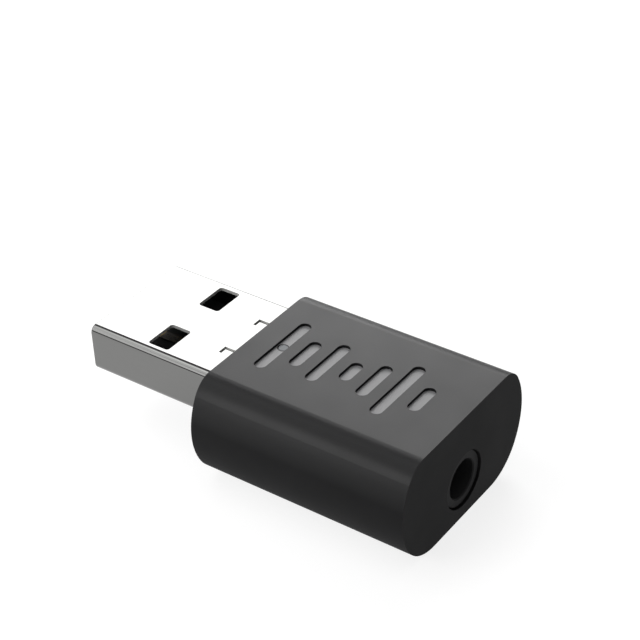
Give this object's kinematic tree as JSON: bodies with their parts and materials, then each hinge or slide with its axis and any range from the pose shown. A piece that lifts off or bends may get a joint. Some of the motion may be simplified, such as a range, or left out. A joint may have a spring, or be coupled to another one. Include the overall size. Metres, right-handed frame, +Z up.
{
  "type": "usb bluetooth adapter",
  "caption": "Short black adapter with a metal plug at one end, a round headphone socket at the other and recessed sound-level bars on its flat top.",
  "frame": {"origin": "centre of the bounding box's lower face, on the flat underside", "axes": "+X from the plug's tip to the headphone socket's mouth, +Z up towards the recessed top face"},
  "size_m": [0.034, 0.0184, 0.0103],
  "materials": {
    "black_abs": "satin moulded black plastic",
    "plated_steel": "bright nickel plate on folded steel",
    "black_polymer": "fine matt black plastic",
    "gold_plate": "gold-plated strip",
    "green_laminate": "green lacquered glass laminate",
    "spring_bronze": "tinned bronze spring",
    "clear_polymer": "clear moulded plastic",
    "chip_epoxy": "matt moulded epoxy",
    "crystal_can": "plain metal lid",
    "ferrite": "dark sintered ceramic",
    "lamp_ceramic": "pale ceramic",
    "capacitor_ceramic": "tan ceramic with tinned ends"
  },
  "bodies": {
    "root": {"housing": "black_abs", "end_plate": "black_abs", "usb_shell": "plated_steel", "usb_insulator": "black_polymer", "usb_contact_power": "gold_plate", "usb_contact_data_minus": "gold_plate", "usb_contact_data_plus": "gold_plate", "usb_contact_ground": "gold_plate", "circuit_board": "green_laminate", "jack_body": "black_polymer", "jack_tip_spring": "spring_bronze", "jack_ring_spring": "spring_bronze", "jack_sleeve_spring": "spring_bronze", "light_pipe": "clear_polymer", "bluetooth_chip": "chip_epoxy", "crystal": "crystal_can", "voltage_regulator": "chip_epoxy", "power_inductor": "ferrite", "status_led": "lamp_ceramic", "chip_antenna": "lamp_ceramic", "supply_capacitors": "capacitor_ceramic", "audio_capacitors": "capacitor_ceramic", "decoupling_capacitors": "capacitor_ceramic", "resistors": "ferrite"}
  },
  "joints": []
}
